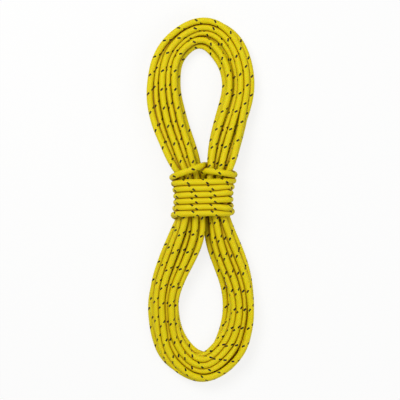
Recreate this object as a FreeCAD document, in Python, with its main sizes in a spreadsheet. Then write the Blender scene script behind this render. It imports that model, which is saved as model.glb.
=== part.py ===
import FreeCAD, Part
import Sketcher
import math
import os
from FreeCAD import Placement, Rotation, Vector

# A cord stored as a hank. Ten long loops run up and down in four layers, are drawn in at the waist
# and bound there by six turns of the cord's own end. That end is locked through the eye between the
# upper limbs and tucked inside. The hank lies on its back: X to the right, Y up the hank, Z to the
# front. The routes are drawn from the middle of the waist, and the finished pieces are then moved
# together so that the origin is below the middle of the whole.

os.makedirs("parts", exist_ok=True)
doc = FreeCAD.newDocument("cord_hank")

# Driving sizes, in millimetres unless the note says otherwise
SIZES = [
    ("cord_diameter", 6.0, "outside of the sheath"),
    ("cord_sides", 5, "facets that stand for the round section, a count"),
    ("core_diameter", 3.9, "bundle of core strands"),
    ("core_slip", 0.1, "room between core and sheath"),
    ("turn_gap", 0.45, "room between cords that lie side by side or cross"),
    ("flat_depth", 0.9, "how far the cord is pressed flat where it lies on the surface"),
    ("layer_count", 4, "layers of loops, a count"),
    ("layer_turns", 2.5, "turns in each layer, a count in halves"),
    ("climb_share", 0.5, "share of a turn in which the cord climbs to the next layer"),
    ("knee_share", 0.09, "share of a turn from the middle of the waist to a knee"),
    ("waist_spread", 0.15, "extra step between the strands at the waist"),
    ("channel_gap", 1.3, "room between the two halves of the waist, beyond a cord"),
    ("waist_straight", 10.0, "half length of the straight stretch at the waist"),
    ("waist_bend", 22.0, "radius of the outermost strand where the limbs leave the waist"),
    ("upper_knee", 60.0, "height of the upper limbs' knee above the waist"),
    ("lower_knee", 64.0, "depth of the lower limbs' knee below the waist"),
    ("upper_reach", 157.5, "height of the upper bend's middle strand"),
    ("lower_reach", 166.7, "depth of the lower bend's middle strand"),
    ("upper_fan", 11.8, "step between loops at the upper bend"),
    ("lower_fan", 11.0, "step between loops at the lower bend"),
    ("crown_aside", 2.5, "how far the upper bend lies to the right"),
    ("knee_right_upper", 22.6, "middle strand at the right upper knee, from the centre"),
    ("knee_left_upper", 31.6, "the same at the left"),
    ("knee_right_lower", 28.4, "the same at the right below"),
    ("knee_left_lower", 26.7, "the same at the left below"),
    ("fan_right_upper", 10.3, "step between loops at the right upper knee"),
    ("fan_left_upper", 11.8, "the same at the left"),
    ("fan_right_lower", 12.0, "the same at the right below"),
    ("fan_left_lower", 12.7, "the same at the left below"),
    ("start_tail", 9.0, "how far the first end runs past the middle of the waist"),
    ("snug_gap", 1.15, "room between the binding and the strands that it holds"),
    ("wrap_count", 6, "full turns of the binding, a count"),
    ("wrap_middle", -1.15, "place of the binding's middle along the hank"),
    ("corner_ease", 2.0, "radius of the binding's corners, beyond a cord"),
    ("lead_drop", 6.0, "how far below the binding the lead passes behind the right half"),
    ("eye_ease", 2.0, "radius of the bends into the eye, beyond a cord"),
    ("eye_rise", 14.3, "how far above the binding the first pass through the eye is"),
    ("first_eye", 3.5, "first pass through the eye, across the hank"),
    ("second_eye", 1.5, "second pass through the eye, across the hank"),
    ("lock_gap", 0.6, "room between the binding's last turn and the locking turn"),
    ("lock_slope", 11.3, "slope of the locking turn where it leaves the left side, in degrees"),
    ("eye_slope", 27.8, "slope of the locking turn where it comes to the eye, in degrees"),
    ("tuck_length", 25.0, "tucked end inside the waist, without its tip"),
    ("tip_length", 3.0, "melted tip of an end"),
    ("tip_bevel", 1.1, "bevel round a melted tip"),
]

sheet = doc.addObject("Spreadsheet::Sheet", "Sizes")
for row, (alias, value, note) in enumerate(SIZES, start=1):
    sheet.set("A%d" % row, note)
    sheet.set("B%d" % row, str(value))
    sheet.setAlias("B%d" % row, alias)
doc.recompute()


def size(alias):
    return float(sheet.get(alias))


UP = Vector(0, 1, 0)
LEFT = Vector(-1, 0, 0)
FRONT = Vector(0, 0, 1)

cord = size("cord_diameter")
side_step = cord + size("turn_gap")
waist_step = side_step + size("waist_spread")
turns = size("layer_turns")
half_band = turns / 2
knee_share = size("knee_share")
layers = int(size("layer_count"))
loop_count = int(round(layers * turns))
table_level = cord / 2 - size("flat_depth")
lift = cord + size("snug_gap")
inner_strand = cord + size("channel_gap")
outer_strand = inner_strand + (turns - 0.5) * waist_step


# Tangent-continuous routes

def unit(vector):
    result = Vector(vector)
    result.normalize()
    return result


def sloping(degrees):
    """The way to the right that climbs up the hank at this slope."""
    return Vector(math.cos(math.radians(degrees)), math.sin(math.radians(degrees)), 0)


def bend(start, corner, end):
    """The arc from start to end that is tangent to the lines through corner, or a straight line."""
    middle = (start + end) * 0.5
    bow = corner - middle
    half_chord = (end - start).Length / 2
    if bow.Length < half_chord * 1e-4:
        return Part.LineSegment(start, end).toShape()
    half_turn = math.atan2(bow.Length, half_chord)
    top = middle + unit(bow) * (half_chord * math.tan(half_turn / 2))
    return Part.Arc(start, top, end).toShape()


def biarc(start, start_way, end, end_way):
    """Two arcs that leave start along start_way, meet tangentially and arrive at end along end_way.

    Where one arc does it, there is only that one.
    """
    span = end - start
    along = span.dot(start_way + end_way)
    single = span.dot(span) / along
    if (start + start_way * single).distanceToPoint(end - end_way * single) < single * 1e-3:
        return [bend(start, start + start_way * single, end)]
    turn = 2 * (1 - start_way.dot(end_way))
    if turn < 1e-9:
        reach = span.dot(span) / (2 * along)
    else:
        reach = (math.sqrt(along ** 2 + turn * span.dot(span)) - along) / turn
    first = start + start_way * reach
    second = end - end_way * reach
    joint = (first + second) * 0.5
    return [bend(start, first, joint), bend(joint, second, end)]


class Route:
    """A line of straight runs and arcs that never turns a corner."""

    def __init__(self, place, way):
        self.place = place
        self.way = unit(way)
        self.edges = []

    def run_to(self, place):
        self.edges.append(Part.LineSegment(self.place, place).toShape())
        self.way = unit(place - self.place)
        self.place = place

    def run_on(self, length):
        self.run_to(self.place + self.way * length)

    def curve_to(self, place, way):
        self.edges.extend(biarc(self.place, self.way, place, unit(way)))
        self.place = place
        self.way = unit(way)

    def run(self, start, end):
        """Curves to the start of a straight run and follows it."""
        self.curve_to(start, end - start)
        self.run_to(end)


# The loops. A turn is counted from the right of the waist, up the right, over the top, down the left,
# through the waist and back up from the bottom. The spiral's offset is in steps from the middle of
# the band, and grows inwards.

def offset(turn):
    phase = turn % (2 * turns)
    return min(phase, 2 * turns - phase) - half_band


def fanned(turn):
    """The offset outside the waist, where a layer on its way out lies in the gaps of the others."""
    aside = 0 if turn % (2 * turns) < turns else 2 * (turn % 0.5) - 0.5
    return offset(turn) + aside


def ease(share):
    share = min(max(share, 0), 1)
    return share * share * (3 - 2 * share)


def level(turn):
    """Height above the surface, with each climb spread round the spiral's reversal."""
    climb = size("climb_share")
    down = sum(ease((turn - k * turns) / climb + 0.5) for k in range(1, layers))
    return table_level + side_step * (layers - 1 - down)


def waist_x(turn, right):
    """Distance of a strand from the middle of the channel at the waist."""
    innermost = half_band - 0.5 if right else half_band
    return inner_strand + (innermost - offset(turn)) * waist_step


def flared(along):
    """Distance from the middle of the outermost strand, which flares beyond the straight stretch.

    It is taken a quarter of a cord further out, because what crosses the strand there has width.
    """
    radius = size("waist_bend")
    beyond = max(abs(along) + cord / 4 - size("waist_straight"), 0)
    return outer_strand + radius - math.sqrt(radius ** 2 - beyond ** 2)


def limb(turn, direction, right, upper):
    """A limb's place at the waist, where its straight run begins, and its knee."""
    name = ("right" if right else "left") + ("_upper" if upper else "_lower")
    knee_y = size("upper_knee" if upper else "lower_knee")
    knee_x = size("knee_" + name) - fanned(turn) * size("fan_" + name)
    waist_turn = turn - direction * knee_share
    inner = waist_x(waist_turn, right)
    radius = size("waist_bend") + outer_strand - inner
    across = knee_x - inner - radius
    along = knee_y - size("waist_straight")
    angle = math.atan2(along, across) + math.acos(radius / math.hypot(across, along))
    leave_x = inner + radius * (1 + math.cos(angle))
    leave_y = size("waist_straight") + radius * math.sin(angle)
    share = (leave_y - size("waist_straight")) / along
    leave_z = level(waist_turn + direction * knee_share * share) + lift
    side = 1 if right else -1
    end = 1 if upper else -1
    waist = Vector(side * inner, end * size("waist_straight"), level(waist_turn) + lift)
    leave = Vector(side * leave_x, end * leave_y, leave_z)
    knee = Vector(side * knee_x, end * knee_y, level(turn) + lift)
    return waist, leave, knee


def crown(turn):
    return Vector(size("crown_aside"), size("upper_reach") - fanned(turn) * size("upper_fan"), level(turn))


def foot(turn):
    return Vector(0, -size("lower_reach") + fanned(turn) * size("lower_fan"), level(turn))


def loops_route():
    first = Vector(waist_x(0, True), -size("start_tail"), level(0) + lift)
    route = Route(first, UP)
    for turn in range(loop_count):
        waist, leave, knee = limb(turn + knee_share, 1, True, True)
        route.run_to(waist)
        route.run(leave, knee)
        route.curve_to(crown(turn + 0.25), LEFT)
        waist, leave, knee = limb(turn + 0.5 - knee_share, -1, False, True)
        route.run(knee, leave)
        route.curve_to(waist, -UP)
        waist, leave, knee = limb(turn + 0.5 + knee_share, 1, False, False)
        route.run_to(waist)
        route.run(leave, knee)
        route.curve_to(foot(turn + 0.75), -LEFT)
        waist, leave, knee = limb(turn + 1 - knee_share, -1, True, False)
        if turn == loop_count - 1:
            route.run(knee, knee + unit(leave - knee) * cord)
        else:
            route.run(knee, leave)
            route.curve_to(waist, UP)
    return route


# The binding: from the lower right limb behind the waist, round it, and up to the locking turn

front_level = level(0) + lift + lift
back_level = table_level
corner = cord + size("corner_ease")
wrap_count = int(size("wrap_count"))
wrap_start = size("wrap_middle") - wrap_count * side_step / 2
wrap_end = size("wrap_middle") + wrap_count * side_step / 2
around = 4 * (outer_strand + lift - corner) + 2 * (front_level - back_level - 2 * corner)
around += 2 * math.pi * corner
rise = side_step / around
corner_rise = 2 * rise * corner


def side_x(along):
    """How far out the binding's side runs lie."""
    return flared(along) + lift


def side_run(along, right, start, end):
    """A run up the left side or down the right side between two levels."""
    across = side_x(along) if right else -side_x(along)
    slope = rise * (end - start) / 2
    tilt = slope if start < end else -slope
    return Vector(across, along - tilt, start), Vector(across, along + tilt, end)


def cross_run(along, front, start, end):
    """A run across the front to the right or across the back to the left."""
    height = front_level if front else back_level
    tilt = rise * abs(end - start) / 2
    return Vector(start, along - tilt, height), Vector(end, along + tilt, height)


def add_lead(route):
    """Behind the right half and the left one, then up the left side."""
    reach = side_x(wrap_start) - corner
    under = Vector(inner_strand + waist_step, wrap_start - size("lead_drop"), back_level)
    route.run(under, Vector(-reach, wrap_start - 2 * corner_rise, back_level))
    route.run(*side_run(wrap_start, False, back_level + corner, front_level - corner))


def add_wraps(route):
    quarter = around / 4 * rise
    for turn in range(wrap_count):
        along = wrap_start + turn * side_step + quarter
        reach = side_x(along) - corner
        route.run(*cross_run(along, True, -reach, reach))
        along += quarter
        route.run(*side_run(along, True, front_level - corner, back_level + corner))
        along += quarter
        reach = side_x(along) - corner
        route.run(*cross_run(along, False, reach, -reach))
        along += quarter
        route.run(*side_run(along, False, back_level + corner, front_level - corner))


def add_locking_turn(route):
    """Over the left half, through the eye, round the right half and into the eye again."""
    radius = cord + size("eye_ease")
    eye = Vector(size("first_eye"), wrap_end + size("eye_rise"), 0)
    over = Vector(corner - side_x(wrap_end), wrap_end + corner_rise + size("lock_gap"), front_level)
    route.curve_to(over, sloping(size("lock_slope")))
    toward = sloping(size("eye_slope"))
    route.curve_to(Vector(eye.x, eye.y, front_level) - toward * radius, toward)
    route.curve_to(eye + FRONT * (front_level - radius), -FRONT)
    along = wrap_end + side_step / 2 + 2 * size("lock_gap")
    across = side_x(along)
    target = Vector(across - corner, along + size("lock_gap"), back_level)
    away = unit(Vector(target.x - eye.x, target.y - eye.y, 0))
    route.run_to(eye + FRONT * (back_level + radius))
    route.run(Vector(eye.x, eye.y, back_level) + away * radius, target)
    route.run(Vector(across, along, back_level + corner), Vector(across, along, front_level - corner))
    eye = Vector(size("second_eye"), along + rise * (across - corner) * 2, 0)
    ahead = Vector(across - corner, along, front_level)
    route.run(ahead, Vector(eye.x + radius, eye.y, front_level))
    route.curve_to(eye + FRONT * (front_level - radius), -FRONT)
    middle = (front_level + back_level) / 2
    route.curve_to(Vector(0, eye.y - (front_level - radius - middle), middle), -UP)
    route.run_on(cord)


# The tube, and the least gap that its route leaves

def section(place, way, diameter):
    """A faceted cord's outline, square to the way it runs."""
    side = unit(way.cross(FRONT if abs(way.z) < 0.7 else UP))
    other = unit(side.cross(way))
    sides = int(size("cord_sides"))
    angles = [2 * math.pi * k / sides for k in range(sides)]
    points = [place + (side * math.cos(a) + other * math.sin(a)) * (diameter / 2) for a in angles]
    return Part.makePolygon(points + points[:1])


def tube(edges, outline):
    """A solid swept along the route, and its outline at the far end."""
    shell = Part.BRepOffsetAPI.MakePipeShell(Part.Wire(edges))
    shell.add(outline)
    shell.build()
    end = shell.lastShape()
    shell.makeSolid()
    return shell.shape(), end


def sampled(edges, step):
    """Points along a route, each with its length along the route."""
    points = []
    done = 0.0
    for edge in edges:
        count = max(1, round(edge.Length / step))
        for k in range(count):
            along = edge.Length * k / count
            points.append((done + along, edge.valueAt(edge.getParameterByLength(along))))
        done += edge.Length
    points.append((done, edges[-1].valueAt(edges[-1].LastParameter)))
    return points


def least_distance(points, apart):
    """Least distance of a sampled route from itself, between places that lie apart along it."""
    cell = 2 * cord
    grid = {}
    for k, (along, point) in enumerate(points[:-1]):
        key = (int(point.x // cell), int(point.y // cell), int(point.z // cell))
        grid.setdefault(key, []).append(k)
    steps = [(i, j, k) for i in (-1, 0, 1) for j in (-1, 0, 1) for k in (-1, 0, 1)]
    least = cell
    for along, point in points:
        x, y, z = int(point.x // cell), int(point.y // cell), int(point.z // cell)
        near = [n for i, j, k in steps for n in grid.get((x + i, y + j, z + k), ())]
        for n in near:
            if points[n][0] - along < apart:
                continue
            start, end = points[n][1], points[n + 1][1]
            span = end - start
            share = min(max((point - start).dot(span) / span.dot(span), 0), 1)
            least = min(least, (start + span * share).distanceToPoint(point))
    return least


route = loops_route()
stretches = {"loops": len(route.edges)}
add_lead(route)
stretches["lead"] = len(route.edges)
add_wraps(route)
stretches["binding"] = len(route.edges)
add_locking_turn(route)
stretches["locking turn"] = len(route.edges)
edges = route.edges

first = 0
for name, last in stretches.items():
    length = sum(edge.Length for edge in edges[first:last])
    radii = [edge.Curve.Radius for edge in edges[first:last] if hasattr(edge.Curve, "Radius")]
    print("%s: %.0f mm long, tightest radius %.1f mm" % (name, length, min(radii)))
    first = last
points = sampled(edges, cord / 3)
one_bend = 7 * cord
gap = least_distance(points, one_bend) - cord
print("whole cord: %.0f mm long, least gap to itself %.2f mm" % (points[-1][0], gap))


# The cord as one unbroken tube, pressed flat where it lies on the surface

start = edges[0].valueAt(0)
end = edges[-1].valueAt(edges[-1].LastParameter)
start_outline = section(start, UP, cord)
shape, outline = tube(edges, start_outline)
expected = Part.Face(start_outline).Area * points[-1][0]
print("tube volume %.4f of its section times its length" % (shape.Volume / expected))
box = shape.BoundBox
surface = Part.makeBox(box.XLength, box.YLength, cord, Vector(box.XMin, box.YMin, -cord))
shape = shape.cut(surface)
box = shape.optimalBoundingBox(False, False)
to_origin = Vector(-box.Center.x, -box.Center.y, 0)

hanked_cord = doc.addObject("Part::Feature", "hanked_cord")
hanked_cord.Label = "hanked_cord"
hanked_cord.Shape = shape
hanked_cord.Placement = Placement(to_origin, Rotation())


# The tucked end, shown as a kernmantle cord is made: a sheath round a core

def facing(way, across):
    """The rotation that turns Z to way and X to across."""
    return Rotation(across, Vector(), way, "ZXY")


across = unit(outline.Vertexes[0].Point - end)
tail_place = Placement(end + to_origin, facing(-UP, across))

outside = doc.addObject("Part::Prism", "tail_outside")
outside.setExpression("Polygon", "Sizes.cord_sides")
outside.setExpression("Circumradius", "Sizes.cord_diameter / 2")
outside.setExpression("Height", "Sizes.tuck_length")
bore = doc.addObject("Part::Cylinder", "tail_bore")
bore.setExpression("Radius", "Sizes.core_diameter / 2 + Sizes.core_slip")
bore.setExpression("Height", "Sizes.tuck_length")
tail_sheath = doc.addObject("Part::Cut", "tail_sheath")
tail_sheath.Label = "tail_sheath"
tail_sheath.Base = outside
tail_sheath.Tool = bore
tail_sheath.Placement = tail_place

tail_core = doc.addObject("Part::Cylinder", "tail_core")
tail_core.Label = "tail_core"
tail_core.setExpression("Radius", "Sizes.core_diameter / 2")
tail_core.setExpression("Height", "Sizes.tuck_length")
tail_core.Placement = tail_place


# Melted tips on both cut ends, with the cord's own section and a bevelled end

def add_tip(name, place):
    body = doc.addObject("PartDesign::Body", name)
    body.Label = name
    plane = next(item for item in body.Origin.OriginFeatures if item.Role == "XY_Plane")
    sketch = body.newObject("Sketcher::SketchObject", name + "_section")
    sketch.AttachmentSupport = [(plane, "")]
    sketch.MapMode = "FlatFace"
    sides = int(size("cord_sides"))
    angles = [2 * math.pi * k / sides for k in range(sides)]
    corners = [Vector(math.cos(a), math.sin(a), 0) * (cord / 2) for a in angles]
    for k in range(sides):
        sketch.addGeometry(Part.LineSegment(corners[k], corners[(k + 1) % sides]))
    circle = sketch.addGeometry(Part.Circle(Vector(), FRONT, cord / 2), True)
    sketch.addConstraint(Sketcher.Constraint("Coincident", circle, 3, -1, 1))
    radius = sketch.addConstraint(Sketcher.Constraint("Radius", circle, cord / 2))
    sketch.setExpression("Constraints[%d]" % radius, "Sizes.cord_diameter / 2")
    sketch.addConstraint(Sketcher.Constraint("PointOnObject", 0, 1, -1))
    for k in range(sides):
        sketch.addConstraint(Sketcher.Constraint("Coincident", k, 2, (k + 1) % sides, 1))
        sketch.addConstraint(Sketcher.Constraint("PointOnObject", k, 1, circle))
        if k > 0:
            sketch.addConstraint(Sketcher.Constraint("Equal", 0, k))
    pad = body.newObject("PartDesign::Pad", name + "_length")
    pad.Profile = sketch
    pad.setExpression("Length", "Sizes.tip_length")
    doc.recompute()
    tops = [k for k, face in enumerate(pad.Shape.Faces, start=1) if face.BoundBox.ZMin > 0.01]
    bevel = body.newObject("PartDesign::Chamfer", name + "_bevel")
    bevel.Base = (pad, ["Face%d" % k for k in tops])
    bevel.setExpression("Size", "Sizes.tip_bevel")
    body.Placement = place
    return body


across = unit(start_outline.Vertexes[0].Point - start)
start_seal = add_tip("start_seal", Placement(start + to_origin, facing(-UP, across)))
tail_end = end - UP * size("tuck_length")
tail_seal = add_tip("tail_seal", Placement(tail_end + to_origin, tail_place.Rotation))


# Every piece sound, then written under its own name

doc.recompute()
for piece in doc.Objects:
    assert not {"Invalid", "Error"} & set(piece.State), piece.Name
for piece in (hanked_cord, tail_sheath, tail_core, start_seal, tail_seal):
    assert not piece.Shape.isNull() and piece.Shape.isValid(), piece.Label
    piece.Shape.exportStep("parts/%s.step" % piece.Label)
    print("%s: %d solid, %.0f cubic mm" % (piece.Label, len(piece.Shape.Solids), piece.Shape.Volume))
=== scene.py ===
import math

import bmesh
import bpy
import numpy as np
from mathutils import Matrix, Vector, noise


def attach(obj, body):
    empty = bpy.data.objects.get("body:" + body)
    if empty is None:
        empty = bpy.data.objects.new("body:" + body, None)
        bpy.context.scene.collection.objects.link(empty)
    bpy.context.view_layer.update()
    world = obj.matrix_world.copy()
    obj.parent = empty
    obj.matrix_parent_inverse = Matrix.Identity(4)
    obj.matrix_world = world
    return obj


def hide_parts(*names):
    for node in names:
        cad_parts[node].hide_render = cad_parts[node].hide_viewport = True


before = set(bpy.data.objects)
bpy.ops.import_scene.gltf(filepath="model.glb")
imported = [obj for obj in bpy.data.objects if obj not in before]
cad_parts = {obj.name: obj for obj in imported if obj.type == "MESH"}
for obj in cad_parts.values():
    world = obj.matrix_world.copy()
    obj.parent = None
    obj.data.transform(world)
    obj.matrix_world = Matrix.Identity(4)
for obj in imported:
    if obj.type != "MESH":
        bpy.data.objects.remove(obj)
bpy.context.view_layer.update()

# The loops: ten long turns of one nylon accessory cord, wound by hand in four layers with the first
# one in front, and drawn in at the waist. Places are in millimetres from the middle of the waist, with
# X to the right and Y up the hank.

MM = 0.001
# The cord's thickness, and the middle of the waist in the frame
CORD = 6.0
WAIST = (1.94, 4.19, 0.0)
LOOPS = 10
LAYERS = 4
LAYER_TURNS = LOOPS / LAYERS

# Share of the turn, outermost strand, innermost strand, height of the lowest layer, step of a layer
LOOP_STATIONS = [
    (0.000, (20.2, 0.0), (7.3, 0.0), 9.2, 6.3),
    (0.022, (22.5, 14.0), (6.6, 14.0), 9.0, 6.3),
    (0.050, (30.6, 32.0), (7.2, 32.0), 7.8, 6.0),
    (0.076, (36.0, 49.4), (8.6, 49.4), 6.4, 5.7),
    (0.102, (41.2, 66.8), (12.4, 66.8), 5.0, 5.5),
    (0.126, (45.0, 84.2), (17.4, 84.2), 4.0, 5.4),
    (0.150, (47.6, 101.6), (22.0, 101.6), 3.6, 5.2),
    (0.176, (46.4, 123.2), (21.1, 117.5), 3.2, 4.8),
    (0.206, (39.6, 147.6), (16.2, 129.4), 3.1, 4.2),
    (0.230, (23.4, 167.2), (7.5, 140.6), 3.1, 4.0),
    (0.254, (1.0, 172.3), (-1.4, 146.8), 3.1, 3.9),
    (0.278, (-20.6, 164.2), (-12.2, 143.0), 3.1, 4.0),
    (0.304, (-38.6, 148.2), (-20.9, 134.0), 3.1, 4.2),
    (0.332, (-48.8, 127.6), (-24.7, 122.4), 3.2, 4.8),
    (0.354, (-52.2, 101.6), (-24.7, 101.6), 3.6, 5.2),
    (0.378, (-51.0, 84.2), (-21.2, 84.2), 4.0, 5.4),
    (0.402, (-47.0, 66.8), (-17.4, 66.8), 5.0, 5.5),
    (0.426, (-39.8, 49.4), (-11.7, 49.4), 6.4, 5.7),
    (0.450, (-32.4, 32.0), (-7.4, 32.0), 7.8, 6.0),
    (0.478, (-22.0, 14.0), (-4.8, 14.0), 9.0, 6.3),
    (0.500, (-20.2, 0.0), (-7.3, 0.0), 9.2, 6.3),
    (0.520, (-21.8, -14.0), (-1.6, -14.0), 9.0, 6.3),
    (0.544, (-27.0, -31.9), (0.8, -31.9), 7.8, 6.0),
    (0.568, (-36.0, -49.4), (-2.8, -49.4), 6.4, 5.7),
    (0.592, (-43.0, -66.8), (-11.2, -66.8), 5.0, 5.5),
    (0.616, (-49.0, -84.2), (-20.6, -84.2), 4.0, 5.4),
    (0.640, (-51.2, -101.6), (-26.7, -101.6), 3.6, 5.2),
    (0.664, (-50.4, -119.2), (-26.5, -117.0), 3.2, 4.8),
    (0.690, (-45.0, -146.0), (-24.6, -128.0), 3.1, 4.2),
    (0.710, (-37.0, -162.2), (-19.8, -138.5), 3.1, 4.0),
    (0.730, (-21.4, -174.2), (-12.3, -149.0), 3.1, 3.9),
    (0.752, (-2.0, -181.0), (-2.2, -156.8), 3.1, 3.9),
    (0.776, (17.6, -175.6), (7.5, -150.0), 3.1, 3.9),
    (0.800, (33.6, -161.4), (15.8, -137.3), 3.1, 4.0),
    (0.824, (42.6, -145.8), (21.3, -123.3), 3.1, 4.2),
    (0.850, (48.2, -119.2), (22.9, -112.0), 3.2, 4.8),
    (0.872, (48.2, -101.6), (22.0, -98.0), 3.6, 5.2),
    (0.896, (46.2, -84.2), (18.9, -84.2), 4.0, 5.4),
    (0.920, (41.4, -66.8), (12.0, -66.8), 5.0, 5.5),
    (0.944, (35.0, -49.4), (7.4, -49.4), 6.4, 5.7),
    (0.968, (27.8, -31.9), (8.6, -31.9), 7.8, 6.0),
    (0.986, (21.6, -14.0), (8.4, -14.0), 9.0, 6.3),
]
# Where each of the ten loops lies across a limb, from 0 outside to 1 inside, at these shares of a turn
LIMB_LANES = {
    0.022: (0.00, 0.50, 1.00, 0.90, 0.50, 0.00, 0.50, 1.05, 1.25, 0.50),
    0.05: (0.08, 0.50, 0.96, 0.74, 0.28, 0.05, 0.60, 1.00, 0.92, 0.38),
    0.14: (0.20, 0.40, 0.84, 0.54, 0.00, 0.10, 0.66, 1.00, 0.76, 0.33),
    0.20: (0.17, 0.36, 0.82, 0.50, 0.02, 0.26, 0.62, 0.98, 0.84, 0.46),
    0.254: (0.06, 0.30, 0.78, 0.50, 0.14, 0.26, 0.62, 0.98, 0.88, 0.46),
    0.36: (0.00, 0.46, 0.90, 0.68, 0.23, 0.08, 0.55, 1.00, 0.80, 0.33),
    0.45: (0.05, 0.46, 0.90, 0.68, 0.24, 0.10, 0.50, 1.10, 0.75, 0.28),
    0.478: (0.16, 0.56, 1.00, 0.78, 0.36, 0.20, 0.60, 1.30, 0.80, 0.30),
    0.52: (0.32, 0.70, 1.00, 0.52, 0.14, 0.00, 0.62, 0.95, 0.70, 0.30),
    0.544: (0.30, 0.72, 0.98, 0.52, 0.14, 0.00, 0.60, 0.84, 0.42, 0.20),
    0.66: (0.48, 0.86, 0.98, 0.69, 0.26, 0.10, 0.80, 1.02, 0.52, 0.00),
    0.72: (0.20, 0.66, 0.84, 0.44, 0.09, 0.18, 0.78, 1.02, 0.49, 0.07),
    0.75: (0.06, 0.56, 0.78, 0.32, 0.00, 0.22, 0.88, 0.92, 0.48, 0.10),
    0.78: (0.05, 0.53, 0.74, 0.29, 0.03, 0.20, 0.93, 0.88, 0.42, 0.16),
    0.84: (0.03, 0.46, 0.66, 0.23, 0.10, 0.15, 0.84, 1.00, 0.40, 0.28),
    0.92: (0.15, 0.58, 0.80, 0.35, 0.00, 0.25, 0.70, 0.98, 0.45, 0.10),
    0.95: (0.19, 0.62, 0.84, 0.41, 0.00, 0.28, 0.92, 1.06, 0.52, 0.11),
    0.98: (0.28, 0.78, 1.00, 0.54, 0.05, 0.25, 0.95, 1.38, 0.55, 0.05),
}
# Share of a turn each side of the waist in which the strands stand in columns, and turns of a climb
WAIST_REACH = 0.012
CLIMB = 0.5
# A layer's step where it is bound tight, and how far strands sink where their step is less than that
TIGHT_STEP = 6.3
NESTING = 0.4
MOST_NESTED = 0.55
# The cord's first point, and the share of the last loop at which it leaves for the binding
LOOPS_START = (20.8, -9.0, 28.6)
LAST_LOOP_ENDS = 0.93

lane_turns = [loop + share for loop in range(LOOPS) for share in LIMB_LANES]
lane_places = [LIMB_LANES[share][loop] for loop in range(LOOPS) for share in LIMB_LANES]


def lane(turn, share):
    """Place across the hank: in three columns at the waist, and as the loops lie in the limbs."""
    past_waist = share % 0.5
    if min(past_waist, 0.5 - past_waist) > WAIST_REACH:
        return np.interp(turn, lane_turns, lane_places)
    phase = turn % (2 * LAYER_TURNS)
    return (min(phase, 2 * LAYER_TURNS - phase) - past_waist) / 2


def layers_down(turn):
    """How many layers the cord has gone back, with a smooth climb from each one to the next."""
    climbs = [(turn - layer * LAYER_TURNS) / CLIMB + 0.5 for layer in range(1, LAYERS)]
    done = [min(max(climb, 0), 1) for climb in climbs]
    return sum(share * share * (3 - 2 * share) for share in done)


def height(low, step, layer):
    """The second and fourth layers sink between the strands of the others where they are loose."""
    nested = min((TIGHT_STEP - step) * NESTING, MOST_NESTED) * (1 - math.cos(math.pi * layer)) / 2
    return low + step * (LAYERS - 1 - layer + nested)


def loops_line():
    """The planned points of all ten loops."""
    points = []
    for loop in range(LOOPS):
        for share, outer, inner, low, step in LOOP_STATIONS:
            if loop == LOOPS - 1 and share > LAST_LOOP_ENDS:
                break
            turn = loop + share
            across = lane(turn, share)
            x, y = (far + (near - far) * across for far, near in zip(outer, inner))
            points.append((x, y, height(low, step, layers_down(turn))))
    return points


# The binding: the same cord passes behind the waist, winds round it six times and is locked by one
# turn through the eye between the upper limbs, with its end tucked down inside the waist.

# From the last loop across the back of the waist to the left side, where the binding starts
LEAD = [
    (31.5, -52.0, 11.0),
    (26.0, -40.0, 6.0),
    (17.0, -31.0, 2.8),
    (4.0, -27.5, 2.6),
    (-12.0, -25.0, 2.6),
    (-21.5, -23.0, 3.2),
    (-26.6, -21.6, 8.0),
]
# Over the front, down through the eye, across the back, over the front again, and down through the eye
# into the waist
LOCKING_TURN = [
    (-28.2, 17.6, 27.0),
    (-26.2, 18.8, 33.4),
    (-20.6, 20.8, 36.0),
    (-14.5, 23.2, 36.6),
    (-9.4, 24.8, 36.6),
    (-5.4, 26.4, 36.2),
    (-1.6, 27.8, 33.4),
    (0.2, 28.4, 27.0),
    (1.2, 28.6, 19.0),
    (3.0, 28.6, 10.0),
    (8.0, 28.4, 3.6),
    (15.0, 26.4, 2.6),
    (23.0, 23.6, 3.0),
    (28.6, 21.4, 9.0),
    (30.0, 20.0, 19.0),
    (29.8, 19.3, 28.0),
    (26.4, 20.2, 34.6),
    (20.0, 21.2, 36.2),
    (12.0, 22.3, 36.2),
    (6.0, 23.0, 35.0),
    (2.4, 22.9, 31.0),
    (1.2, 22.0, 26.0),
    (0.4, 19.0, 21.5),
    (0.0, 14.0, 19.4),
    (0.0, 4.0, 18.9),
    (0.0, -6.0, 18.9),
    (0.0, -15.25, 18.9),
]
# Turns, points to a turn, the first point's place up the hank, and the way up from turn to turn
BINDING_TURNS = 6
BINDING_POINTS = 20
BINDING_START = -19.0
BINDING_STEP = CORD
# Middle and half width of the turns at their narrowest place, and how fast they widen from there
BINDING_MIDDLE = 0.5
BINDING_HALF = 25.8
BINDING_NARROWEST = -5.0
BINDING_FLARE = 0.0085
# Height of the cord's middle line behind the waist and in front of it
BINDING_BACK = 2.6
BINDING_FRONT = 35.2
# 2 would make each turn an ellipse, and a higher number makes it squarer
BINDING_SQUARE = 3.6


def binding_line():
    """Close turns with flat fronts and rounded sides, from the left side over the front."""
    middle = (BINDING_FRONT + BINDING_BACK) / 2
    half = (BINDING_FRONT - BINDING_BACK) / 2
    points = []
    for step in range(BINDING_TURNS * BINDING_POINTS + 1):
        angle = math.pi + 2 * math.pi * step / BINDING_POINTS
        circle = (math.cos(angle), -math.sin(angle))
        x, z = (math.copysign(abs(part) ** (2 / BINDING_SQUARE), part) for part in circle)
        along = BINDING_START + BINDING_STEP * step / BINDING_POINTS
        reach = BINDING_HALF + BINDING_FLARE * (along - BINDING_NARROWEST) ** 2
        points.append((BINDING_MIDDLE + reach * x, along, middle + half * z))
    return points


# The cord's middle line is one smooth spline. A wound hank is never as even as its plan, so the line
# then settles: it keeps its length and stiffness, sags on to the surface and lies strand on strand.

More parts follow.
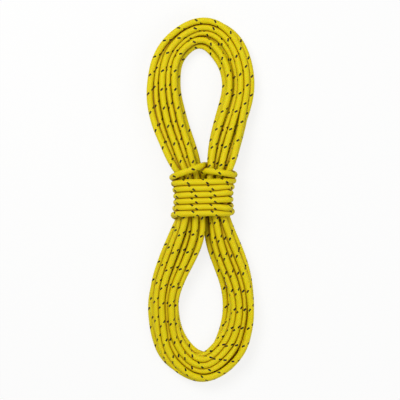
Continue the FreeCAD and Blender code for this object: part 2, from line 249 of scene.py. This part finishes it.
# Distance from point to point of the line, rounds of settling, and the rounds in which it still sags
SETTLE_STEP = 3.0
SETTLE_ROUNDS = 200
SAG_ROUNDS = 150
# In a round the cord sags this far, and these shares of its drift and of its bend are taken back
SAG = 0.01
HOLD = 0.01
STIFFNESS = 0.15
# Passes in a round, and the share of the error that each end or each strand takes back in a pass
LENGTH_PASSES = 3
LENGTH_GIVE = 0.25
CONTACT_PASSES = 2
CONTACT_GIVE = 0.65
# Strands press into each other a little, so their middle lines come nearer than the cord is thick
CONTACT = 5.9
# Which pairs of points are watched for contact, how often they are looked for, and how many at once
WATCHED = 1.35 * CORD
NEIGHBOURS_APART = 5
LOOK_AGAIN = 15
BATCH = 512
# Height of the middle line where the cord lies on the surface, and the points held at its two ends
LYING = 3.12
ENDS_HELD = 4


def spline_line(name, points, resolution):
    """The points that Blender reads along a smooth spline with these control points."""
    curve = bpy.data.curves.new(name, "CURVE")
    curve.dimensions = "3D"
    curve.resolution_u = resolution
    spline = curve.splines.new("NURBS")
    spline.points.add(len(points) - 1)
    spline.points.foreach_set("co", np.c_[points, np.ones(len(points))].ravel())
    spline.order_u = 3
    spline.use_endpoint_u = True
    holder = bpy.data.objects.new(name, curve)
    mesh = bpy.data.meshes.new_from_object(holder)
    line = np.empty(len(mesh.vertices) * 3)
    mesh.vertices.foreach_get("co", line)
    bpy.data.meshes.remove(mesh)
    bpy.data.curves.remove(curve)
    return line.reshape(-1, 3)


def lengths_along(line):
    """Length of the line up to each of its points."""
    return np.concatenate([[0], np.cumsum(np.linalg.norm(np.diff(line, axis=0), axis=1))])


def spaced(line, places):
    """Points of the line at these lengths along it."""
    along = lengths_along(line)
    return np.stack([np.interp(places, along, axis) for axis in line.T], 1)


def near_pairs(line, reach):
    """Pairs of points of the line that are nearer to each other than reach, but apart along it."""
    square = (line**2).sum(1)
    found = []
    for first in range(0, len(line), BATCH):
        part = line[first : first + BATCH]
        distance = square[first : first + BATCH, None] + square - 2 * part @ line.T
        one, other = np.nonzero(distance < reach * reach)
        one += first
        found.append(np.stack([one, other])[:, other - one > NEIGHBOURS_APART])
    return np.concatenate(found, 1)


def settled(start):
    """The line after it has sagged, kept its length and been pushed apart where strands meet."""
    line = start.copy()
    count = len(line)
    spacing = np.linalg.norm(np.diff(line, axis=0), axis=1)
    for settling in range(SETTLE_ROUNDS):
        if settling % LOOK_AGAIN == 0:
            one, other = near_pairs(line, WATCHED)
        if settling < SAG_ROUNDS:
            line[:, 2] -= SAG
            line[:, :2] += HOLD * (start[:, :2] - line[:, :2])
        straight = (4 * (line[3:-1] + line[1:-3]) - line[4:] - line[:-4]) / 6
        line[2:-2] += STIFFNESS * (straight - line[2:-2])
        for _ in range(LENGTH_PASSES):
            edge = np.diff(line, axis=0)
            length = np.linalg.norm(edge, axis=1)
            pull = (LENGTH_GIVE * (length - spacing) / length)[:, None] * edge
            line[:-1] += pull
            line[1:] -= pull
        for _ in range(CONTACT_PASSES):
            apart = line[one] - line[other]
            distance = np.linalg.norm(apart, axis=1)
            hit = distance < CONTACT
            near, far = one[hit], other[hit]
            push = apart[hit] * (CONTACT_GIVE * (CONTACT - distance[hit]) / distance[hit])[:, None]
            touches = np.bincount(near, minlength=count) + np.bincount(far, minlength=count)
            for axis in range(3):
                move = np.bincount(near, push[:, axis], count) - np.bincount(far, push[:, axis], count)
                line[:, axis] += move / np.maximum(touches, 1)
            line[:, 2] = np.maximum(line[:, 2], LYING)
            line[:ENDS_HELD] = start[:ENDS_HELD]
            line[-ENDS_HELD:] = start[-ENDS_HELD:]
    return line


plan = np.array([LOOPS_START] + loops_line() + LEAD + binding_line() + LOCKING_TURN)
drawn = spline_line("cord_plan", plan, resolution=8)
whole = lengths_along(drawn)[-1]
laid = settled(spaced(drawn, np.linspace(0, whole, round(whole / SETTLE_STEP) + 1)))
middle_line = spline_line("cord_line", laid + WAIST, resolution=6)


# The sheath: sixteen nylon yarns braided two over two under at 45 degrees round the core. Half run
# one way round and half the other, and each yarn shows as a row of short floats. One yarn is black.

# A yarn goes once round the cord in LAY, and crosses all the yarns that run the other way round. ROW is
# the step of the mesh along the cord, half of the way from one crossing to the next.
CARRIERS = 16
LAY = 18.2
ROW = LAY / (2 * CARRIERS)
# Distance from the middle line: top of a float, a float's crossings, edge of a float, gap between floats
RIDGE = 3.14
SHOULDER = 3.09
EDGE = 2.97
VALLEY = 2.86
# How deep a float's edge lies between its top at 0 and the gap at 1, which sets how much painted shade
# darkens its colour there
EDGE_DEPTH = 0.7
# How the sheath lies turned on the core, in degrees, and its slow twist in degrees to the millimetre
SHEATH_TURN = 125.0
SHEATH_TWIST = 0.1
STRETCHES = ("loops_front", "loops_second", "loops_third", "loops_back", "binding")

# The filaments of a yarn are 0.03 mm thick, too fine to show, so a float's lines are drawn 0.19 mm wide
# and 2.8 mm long. The next yarn of the same direction is YARN_STEP away.
YARN_STEP = math.pi * CORD / (CARRIERS / 2) / math.sqrt(2)
LINE_WIDE = 0.19
LINE_LONG = 2.8
BLACK_DYE = "#1A1008"

# Numbers of the Mix node's two colour inputs and of its colour output
MIX_A, MIX_B, MIX_OUT = 6, 7, 2


def srgb(code):
    """Linear colour of an sRGB hex code."""
    parts = [int(code[digit : digit + 2], 16) / 255 for digit in (1, 3, 5)]
    linear = [part / 12.92 if part <= 0.04045 else ((part + 0.055) / 1.055) ** 2.4 for part in parts]
    return (*linear, 1.0)


def add_node(tree, kind, values=None, links=None, **properties):
    """A node with its properties, its inputs' values and its inputs' links."""
    node = tree.nodes.new(kind)
    for name, value in properties.items():
        setattr(node, name, value)
    for name, value in (values or {}).items():
        node.inputs[name].default_value = value
    for name, output in (links or {}).items():
        tree.links.new(output, node.inputs[name])
    return node


def new_material(name):
    """An empty material and its node tree."""
    material = bpy.data.materials.new(name)
    material.use_nodes = True
    material.node_tree.nodes.clear()
    return material, material.node_tree


def add_surface(tree, settings, links):
    """The shader at the end of a material's nodes."""
    surface = add_node(tree, "ShaderNodeBsdfPrincipled", settings, links)
    add_node(tree, "ShaderNodeOutputMaterial", links={"Surface": surface.outputs["BSDF"]})


def yarn_material(name, light, dark, groove_shade, shadow):
    """Nylon filament yarn: fine lines along each float, painted shade where the floats dip under others,
    and painted shade in the creases between strands.
    """
    material, tree = new_material(name)
    place = add_node(tree, "ShaderNodeUVMap", uv_map="yarn")
    lines_across = round(YARN_STEP / LINE_WIDE)
    lines_along = round(YARN_STEP / LINE_LONG, 1)
    stretched = add_node(
        tree,
        "ShaderNodeMapping",
        {"Scale": (lines_across, lines_along, 1.0)},
        {"Vector": place.outputs["UV"]},
    )
    lines = add_node(
        tree,
        "ShaderNodeTexNoise",
        {"Scale": 1.0, "Detail": 2.0},
        {"Vector": stretched.outputs["Vector"]},
    )
    # Painted shade: the colour darkens towards groove_shade where the floats dip into the gaps between
    # them
    depth = add_node(tree, "ShaderNodeAttribute", attribute_name="depth")
    tone = add_node(
        tree,
        "ShaderNodeMix",
        {MIX_A: srgb(dark), MIX_B: srgb(light)},
        {0: lines.outputs["Fac"]},
        data_type="RGBA",
    )
    shade = add_node(
        tree,
        "ShaderNodeMix",
        {MIX_B: srgb(groove_shade)},
        {0: depth.outputs["Fac"], MIX_A: tone.outputs[MIX_OUT]},
        data_type="RGBA",
    )
    marker = add_node(tree, "ShaderNodeAttribute", attribute_name="marker")
    spread = add_node(
        tree,
        "ShaderNodeMapRange",
        {"From Min": 0.93, "From Max": 0.99},
        {"Value": marker.outputs["Fac"]},
    )
    dyed = add_node(
        tree,
        "ShaderNodeMix",
        {MIX_B: srgb(BLACK_DYE)},
        {0: spread.outputs["Result"], MIX_A: shade.outputs[MIX_OUT]},
        data_type="RGBA",
    )
    # Painted shade: where ambient occlusion finds the creases between strands, the colour goes to the
    # amber-brown shadow colour
    openness = add_node(tree, "ShaderNodeAmbientOcclusion", {"Distance": 4 * MM}, samples=6)
    painted_crease_shade = add_node(
        tree,
        "ShaderNodeMapRange",
        {"From Min": 0.1, "From Max": 0.78},
        {"Value": openness.outputs["AO"]},
    )
    shaded = add_node(
        tree,
        "ShaderNodeMix",
        {MIX_A: srgb(shadow)},
        {0: painted_crease_shade.outputs["Result"], MIX_B: dyed.outputs[MIX_OUT]},
        data_type="RGBA",
    )
    bump = add_node(
        tree,
        "ShaderNodeBump",
        {"Strength": 0.25, "Distance": 0.1 * MM},
        {"Height": lines.outputs["Fac"]},
    )
    add_surface(
        tree,
        {
            "Roughness": 0.6,
            "Specular IOR Level": 0.2,
            "Subsurface Weight": 0.35,
            "Subsurface Radius": (1.0, 0.55, 0.1),
            "Subsurface Scale": 1.2 * MM,
        },
        {"Base Color": shaded.outputs[MIX_OUT], "Normal": bump.outputs["Normal"]},
    )
    return material


# Nylon yarn dyed bright yellow, braided and heat set: a soft satin without sparkle, in which light goes
# a millimetre deep, and painted amber shade in the gaps between floats and between strands, so that these
# glow amber and aren't grey
yellow_yarn = yarn_material("nylon_yarn_yellow", "#EBDF00", "#E2D300", "#D6BC00", "#9C5C00")
# The marker yarn, the same nylon dyed black: small slanted flecks with a trace of brown in the light, and
# painted shade, near black, in their gaps and creases
black_yarn = yarn_material("nylon_yarn_black", BLACK_DYE, "#120A05", "#040201", "#020100")


def frames_along(line):
    """The line's own direction, and two across it that don't twist about it from point to point."""
    tangents = np.gradient(line, axis=0)
    tangents /= np.linalg.norm(tangents, axis=1)[:, None]
    side = Vector(tangents[0]).orthogonal().normalized()
    sides = np.empty_like(line)
    for point, direction in enumerate(tangents):
        tangent = Vector(direction)
        side = (side - tangent * side.dot(tangent)).normalized()
        sides[point] = side
    return tangents, sides, np.cross(tangents, sides)


def sheath_grid(name, rows):
    """A flat mesh of squares cut into four triangles, with each point's step around and row along."""
    grid = bmesh.new()
    bmesh.ops.create_grid(grid, x_segments=CARRIERS, y_segments=rows, size=1)
    bmesh.ops.poke(grid, faces=grid.faces)
    mesh = bpy.data.meshes.new(name)
    grid.to_mesh(mesh)
    grid.free()
    flat = np.empty(len(mesh.vertices) * 3)
    mesh.vertices.foreach_get("co", flat)
    flat = flat.reshape(-1, 3)
    around = np.rint((flat[:, 0] + 1) * CARRIERS).astype(int)
    row = np.rint((flat[:, 1] + 1) * rows).astype(int)
    return mesh, around, row


def add_uv(mesh, name, across, up):
    """A map from its two numbers at each corner of each triangle."""
    layer = mesh.uv_layers.new(name=name)
    layer.uv.foreach_set("vector", np.stack([across, up], -1).astype(np.float32).ravel())


def add_baking_map(mesh, around, row, own_row, line_rows):
    """The stretch unrolled and cut into strips that fill a square, for the baked textures."""
    side_margin = 0.01
    strip_margin = 0.06
    strips = max(1, round(math.sqrt(line_rows * ROW / (math.pi * CORD))))
    per_strip = math.ceil(line_rows / strips)
    strip = (own_row // per_strip)[:, None]
    across = side_margin + (1 - 2 * side_margin) * (row - strip * per_strip) / per_strip
    up = (strip + strip_margin + (1 - 2 * strip_margin) * around / (2 * CARRIERS)) / strips
    add_uv(mesh, "OFBake", across, up)


def close_tube(mesh):
    """The seam along the tube is joined, and its two cut ends get flat faces."""
    tube = bmesh.new()
    tube.from_mesh(mesh)
    bmesh.ops.remove_doubles(tube, verts=tube.verts, dist=0.01 * MM)
    rims = [edge for edge in tube.edges if edge.is_boundary]
    for edge in rims:
        edge.smooth = False
    cut_ends = bmesh.ops.holes_fill(tube, edges=rims, sides=0)["faces"]
    for face in cut_ends:
        for corner in face.loops:
            for layer in tube.loops.layers.uv.values():
                corner[layer].uv = corner.link_loop_radial_next[layer].uv
    bmesh.ops.recalc_face_normals(tube, faces=tube.faces)
    tube.to_mesh(mesh)
    tube.free()
    mesh.update()


def braided(name, line, sides, others, first_row):
    """A stretch of sheath along a line whose points are a row apart."""
    mesh, around, row = sheath_grid(name, (len(line) - 1) // 2)
    along = row + first_row

    # Yarns cross at every other corner of the squares, and the corners between are gaps. A float covers
    # two crossings: its top is the middle of the square between them, and its edges are the middles of
    # the squares beside them.
    crossing = (around % 2 == 0) & ((around + along) // 2 % 2 == 0)
    gap = (around % 2 == 0) & ~crossing
    column = (around - 1) // 2
    rightward = ((along - 1) // 2 + column) % 2 == 0
    top = (around % 2 == 1) & np.where(rightward, column % 4 == 0, column % 4 == 2)
    radius = np.select([top, crossing, gap], [RIDGE, SHOULDER, VALLEY], EDGE)
    angle = math.pi * around / CARRIERS + np.radians(SHEATH_TURN + SHEATH_TWIST * ROW * along)
    place = line[row] + radius[:, None] * (
        np.cos(angle)[:, None] * sides[row] + np.sin(angle)[:, None] * others[row]
    )
    mesh.vertices.foreach_set("co", (place * MM).ravel())

    # One of each triangle's corners is a crossing, and it shows the yarn that is on top there
    triangles = np.empty(len(mesh.polygons) * 3, int)
    mesh.polygons.foreach_get("vertices", triangles)
    triangles = triangles.reshape(-1, 3)
    own = triangles[np.arange(len(triangles)), crossing[triangles].argmax(1)]
    rightward_on_top = around[own] // 2 % 4 < 2
    rightward_yarn = (around[own] // 2 - along[own] // 2) // 2 % (CARRIERS // 2)
    black = rightward_on_top & (rightward_yarn == 0)
    mesh.materials.append(yellow_yarn)
    mesh.materials.append(black_yarn)
    mesh.polygons.foreach_set("material_index", black.astype(int))

    # A yarn's own map, whose first number runs across it and the second along it
    with_right = (around[triangles] + along[triangles]) / 4
    with_left = (around[triangles] - along[triangles]) / 4
    turned = rightward_on_top[:, None]
    add_uv(mesh, "yarn", np.where(turned, with_left, with_right), np.where(turned, with_right, with_left))
    add_baking_map(mesh, around[triangles], row[triangles], row[own], len(line))

    marked = np.zeros(len(around))
    marked[triangles[black].ravel()] = 1
    marker = mesh.attributes.new("marker", "FLOAT", "POINT")
    marker.data.foreach_set("value", marked)
    # depth is 0 on a float's top and crossings and 1 in the gaps, and drives the painted shade between
    # floats
    depth = mesh.attributes.new("depth", "FLOAT", "POINT")
    depth.data.foreach_set("value", np.select([top, crossing, gap], [0.0, 0.0, 1.0], EDGE_DEPTH))

    # Floats are shaded smooth, with a sharp line where one meets the next
    edges = np.empty(len(mesh.edges) * 2, int)
    mesh.edges.foreach_get("vertices", edges)
    one, other = edges.reshape(-1, 2).T
    edge_point = (around % 2 == 1) & ~top
    outline = (gap[one] & edge_point[other]) | (gap[other] & edge_point[one])
    sharp = mesh.attributes.new("sharp_edge", "BOOLEAN", "EDGE")
    sharp.data.foreach_set("value", outline)
    mesh.polygons.foreach_set("use_smooth", np.ones(len(mesh.polygons), bool))

    close_tube(mesh)
    piece = bpy.data.objects.new(name, mesh)
    bpy.context.collection.objects.link(piece)
    return piece


row_count = int(lengths_along(middle_line)[-1] / ROW / 2) * 2
rows_line = spaced(middle_line, np.arange(row_count + 1) * ROW)
tangents, sides, others = frames_along(rows_line)
starts = [round(stretch / len(STRETCHES) * row_count / 2) * 2 for stretch in range(len(STRETCHES) + 1)]
for name, first, last in zip(STRETCHES, starts, starts[1:]):
    line = rows_line[first : last + 1]
    piece = braided(name, line, sides[first : last + 1], others[first : last + 1], first)
    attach(piece, "root")
    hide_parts("hanked_cord", "tail_sheath")

# The core: seven nylon strands that run straight inside the sheath and carry the load, each of them
# three white yarns twisted together. It is modelled where the end is tucked down inside the waist.

# Radii of the ring of strands, of a strand's ring of plies, and of a ply, which goes round in PLY_PITCH
CORE_LENGTH = 25.0
OUTER_STRANDS = 6
STRAND_RING = 1.27
PLIES = 3
PLY_RING = 0.33
PLY_RADIUS = 0.32
PLY_PITCH = 6.0
# Filaments of 0.03 mm are too fine to show, so the shade between them is drawn 0.4 mm wide
SHADE_WIDE = 0.4

core_rows = round(CORE_LENGTH / ROW)
core_curve = bpy.data.curves.new("core_yarns", "CURVE")
core_curve.dimensions = "3D"
core_curve.bevel_depth = PLY_RADIUS * MM
core_curve.bevel_resolution = 2
core_curve.use_fill_caps = True
core_curve.resolution_u = 3
core_line, core_sides, core_others = (part[-core_rows:] for part in (rows_line, sides, others))
core_along = np.arange(core_rows) * ROW
for strand in range(OUTER_STRANDS + 1):
    around = strand * 2 * math.pi / OUTER_STRANDS
    ring = STRAND_RING if strand < OUTER_STRANDS else 0.0
    for ply in range(PLIES):
        twist = 2 * math.pi * (core_along / PLY_PITCH + ply / PLIES)
        across = ring * math.cos(around) + PLY_RING * np.cos(twist)
        up = ring * math.sin(around) + PLY_RING * np.sin(twist)
        path = core_line + across[:, None] * core_sides + up[:, None] * core_others
        yarn = core_curve.splines.new("NURBS")
        yarn.points.add(core_rows - 1)
        yarn.points.foreach_set("co", np.c_[path * MM, np.ones(core_rows)].ravel())
        yarn.order_u = 3
        yarn.use_endpoint_u = True
mesh = bpy.data.meshes.new_from_object(bpy.data.objects.new("core_curve", core_curve))
mesh.name = "core_yarns"
bpy.data.curves.remove(core_curve)
bundle = bmesh.new()
bundle.from_mesh(mesh)
bmesh.ops.remove_doubles(bundle, verts=bundle.verts, dist=0.001 * MM)
bmesh.ops.recalc_face_normals(bundle, faces=bundle.faces)
bundle.to_mesh(mesh)
bundle.free()

# Undyed nylon filament, twisted and heat set: off-white, with a soft sheen and a little shade between
# the filaments
material, tree = new_material("nylon_filament_undyed")
place = add_node(tree, "ShaderNodeTexCoord")
filament = add_node(
    tree,
    "ShaderNodeTexNoise",
    {"Scale": 1 / (SHADE_WIDE * MM), "Detail": 2.0},
    {"Vector": place.outputs["Object"]},
)
tone = add_node(
    tree,
    "ShaderNodeMix",
    {MIX_A: srgb("#D9D4C4"), MIX_B: srgb("#F2EFE6")},
    {0: filament.outputs["Fac"]},
    data_type="RGBA",
)
bump = add_node(
    tree,
    "ShaderNodeBump",
    {"Strength": 0.2, "Distance": 0.1 * MM},
    {"Height": filament.outputs["Fac"]},
)
add_surface(
    tree,
    {"Roughness": 0.5, "Specular IOR Level": 0.4},
    {"Base Color": tone.outputs[MIX_OUT], "Normal": bump.outputs["Normal"]},
)
mesh.materials.append(material)
mesh.polygons.foreach_set("use_smooth", np.ones(len(mesh.polygons), bool))
core = bpy.data.objects.new("core_yarns", mesh)
bpy.context.collection.objects.link(core)
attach(core, "root")
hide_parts("tail_core")

# The ends: a hot blade cuts the cord and melts sheath and core into one hard cap, so that neither
# frays. The melt swells to a low bead, lumpy where the yarns ran together, and browns a little.

# Each ring of the cap: how far past the cut it is, and its radius
CAP_RINGS = [(-0.6, 2.5), (0.0, 2.78), (0.35, 3.02), (1.0, 3.12), (1.9, 2.98), (2.55, 2.3), (2.85, 1.2)]
CAP_POINTS = 32
# Lumps as a share of the cap's size, and how many go to a metre, which makes each of them 1.4 mm wide
LUMP_HIGH = 0.042
LUMPS_TO_A_METRE = 700
# Width of a smear where the black yarn ran into the yellow melt
SMEAR_WIDE = 2.38

# Melted nylon, set hard: glossy, the yellow of the sheath gone amber, with smears of scorched black
material, tree = new_material("nylon_melted_hard")
place = add_node(tree, "ShaderNodeTexCoord")
smears = add_node(
    tree,
    "ShaderNodeTexNoise",
    {"Scale": 1 / (SMEAR_WIDE * MM), "Detail": 3.0, "Distortion": 1.2},
    {"Vector": place.outputs["Object"]},
)
scorched = add_node(
    tree,
    "ShaderNodeMapRange",
    {"From Min": 0.5, "From Max": 0.72},
    {"Value": smears.outputs["Fac"]},
)
tone = add_node(
    tree,
    "ShaderNodeMix",
    {MIX_A: srgb("#B59A12"), MIX_B: srgb("#33240C")},
    {0: scorched.outputs["Result"]},
    data_type="RGBA",
)
bump = add_node(
    tree,
    "ShaderNodeBump",
    {"Strength": 0.3, "Distance": 0.2 * MM},
    {"Height": smears.outputs["Fac"]},
)
add_surface(
    tree,
    {"Roughness": 0.28, "Specular IOR Level": 0.5},
    {"Base Color": tone.outputs[MIX_OUT], "Normal": bump.outputs["Normal"]},
)

for name, node, end, way in (("start_cap", "start_seal", 0, -1), ("tail_cap", "tail_seal", -1, 1)):
    cap = bmesh.new()
    bmesh.ops.create_circle(cap, cap_ends=True, segments=CAP_POINTS, radius=CAP_RINGS[0][1] * MM)
    bmesh.ops.translate(cap, vec=(0, 0, CAP_RINGS[0][0] * MM), verts=cap.verts)
    edges = cap.edges[:]
    for (below, last), (along, radius) in zip(CAP_RINGS, CAP_RINGS[1:]):
        ring = bmesh.ops.extrude_edge_only(cap, edges=edges)["geom"]
        edges = [part for part in ring if isinstance(part, bmesh.types.BMEdge)]
        edges = [edge for edge in edges if edge.is_boundary]
        corners = list({corner for edge in edges for corner in edge.verts})
        bmesh.ops.scale(cap, vec=(radius / last, radius / last, 1), verts=corners)
        bmesh.ops.translate(cap, vec=(0, 0, (along - below) * MM), verts=corners)
    bmesh.ops.edgeloop_fill(cap, edges=edges)
    for corner in cap.verts:
        corner.co *= 1 + LUMP_HIGH * noise.noise(corner.co * LUMPS_TO_A_METRE)
    outwards = Vector(tangents[end]) * way
    turn = outwards.to_track_quat("Z", "Y").to_matrix().to_4x4()
    cap.transform(Matrix.Translation(Vector(rows_line[end]) * MM) @ turn)
    bmesh.ops.recalc_face_normals(cap, faces=cap.faces)
    mesh = bpy.data.meshes.new(name)
    cap.to_mesh(mesh)
    cap.free()
    mesh.materials.append(material)
    mesh.polygons.foreach_set("use_smooth", np.ones(len(mesh.polygons), bool))
    piece = bpy.data.objects.new(name, mesh)
    bpy.context.collection.objects.link(piece)
    softened = piece.modifiers.new("softened", "SUBSURF")
    softened.levels = 1
    softened.render_levels = 1
    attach(piece, "root")
    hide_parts(node)

# The surroundings: white paper under the hank, two soft lamps, and a camera straight above. The camera
# sees the paper and the studio as white, and the hank gets its light from the lamps and from a plain
# grey studio.

# Half of the paper's width, how far it lies below the hank, and the share of plain white in its colour
# as the camera sees it
FLOOR_HALF = 6.0
FLOOR_BELOW = 0.1 * MM
FLOOR_GLOW = 0.8
# Strength of the studio's own light on the hank, where 1 is white
AMBIENT = 0.33
# Each lamp: name, place in metres, width in metres, watts
SOFTBOXES = (
    ("key_softbox", (-0.5, 0.7, 1.3), 0.8, 15.4),
    ("fill_softbox", (0.8, -0.5, 1.1), 0.9, 5.5),
)
# The picture's scale, its width and height in pixels, and the pixel at which the waist's middle is seen
PIXEL = 0.968 * MM
FRAME_PIXELS = 400
WAIST_PIXEL = (202.75, 195.0)
# Height of the camera, height at which the picture's scale holds, and width of the sensor in millimetres
CAMERA_AWAY = 1.6
MIDDLE_HEIGHT = 0.02
SENSOR = 36.0


def seen_background(tree):
    """1 for rays that see the background itself: the camera's, and those off or through the object."""
    path = add_node(tree, "ShaderNodeLightPath")
    either = add_node(
        tree,
        "ShaderNodeMath",
        links={0: path.outputs["Is Camera Ray"], 1: path.outputs["Is Glossy Ray"]},
        operation="MAXIMUM",
    )
    seen = add_node(
        tree,
        "ShaderNodeMath",
        links={0: either.outputs[0], 1: path.outputs["Is Transmission Ray"]},
        operation="MAXIMUM",
    )
    return seen.outputs[0]


floor_mesh = bmesh.new()
bmesh.ops.create_grid(floor_mesh, x_segments=1, y_segments=1, size=FLOOR_HALF)
mesh = bpy.data.meshes.new("floor")
floor_mesh.to_mesh(mesh)
floor_mesh.free()
floor = bpy.data.objects.new("floor", mesh)
floor.location.z = -FLOOR_BELOW
bpy.context.collection.objects.link(floor)

# White paper: matt, so that it keeps the hank's soft shadow and mirrors nothing
material, tree = new_material("paper_sweep_white")
diffuse = add_node(tree, "ShaderNodeBsdfDiffuse", {"Color": srgb("#F4F4F2")})
glow = add_node(tree, "ShaderNodeEmission", {"Color": (1, 1, 1, 1), "Strength": 1.0})
share = add_node(
    tree,
    "ShaderNodeMath",
    {1: FLOOR_GLOW},
    {0: seen_background(tree)},
    operation="MULTIPLY",
)
mix = add_node(
    tree,
    "ShaderNodeMixShader",
    links={0: share.outputs[0], 1: diffuse.outputs[0], 2: glow.outputs[0]},
)
add_node(tree, "ShaderNodeOutputMaterial", links={"Surface": mix.outputs[0]})
mesh.materials.append(material)

world = bpy.data.worlds.new("studio")
bpy.context.scene.world = world
world.use_nodes = True
tree = world.node_tree
tree.nodes.clear()
ambient = add_node(tree, "ShaderNodeBackground", {"Color": (1, 1, 1, 1), "Strength": AMBIENT})
white = add_node(tree, "ShaderNodeBackground", {"Color": (1, 1, 1, 1), "Strength": 1.0})
mix = add_node(
    tree,
    "ShaderNodeMixShader",
    links={0: seen_background(tree), 1: ambient.outputs[0], 2: white.outputs[0]},
)
add_node(tree, "ShaderNodeOutputWorld", links={"Surface": mix.outputs[0]})

for name, place, width, watts in SOFTBOXES:
    lamp = bpy.data.lights.new(name, "AREA")
    lamp.size = width
    lamp.energy = watts
    light = bpy.data.objects.new(name, lamp)
    light.location = place
    light.rotation_euler = Vector(place).to_track_quat("Z", "Y").to_euler()
    bpy.context.collection.objects.link(light)

view_width = PIXEL * FRAME_PIXELS
lens = bpy.data.cameras.new("camera")
lens.sensor_width = SENSOR
lens.lens = SENSOR * (CAMERA_AWAY - MIDDLE_HEIGHT) / view_width
camera = bpy.data.objects.new("camera", lens)
camera.location = (
    WAIST[0] * MM + (FRAME_PIXELS / 2 - WAIST_PIXEL[0]) * PIXEL,
    WAIST[1] * MM - (FRAME_PIXELS / 2 - WAIST_PIXEL[1]) * PIXEL,
    CAMERA_AWAY,
)
bpy.context.collection.objects.link(camera)
bpy.context.scene.camera = camera
bpy.context.scene.view_settings.view_transform = "Standard"
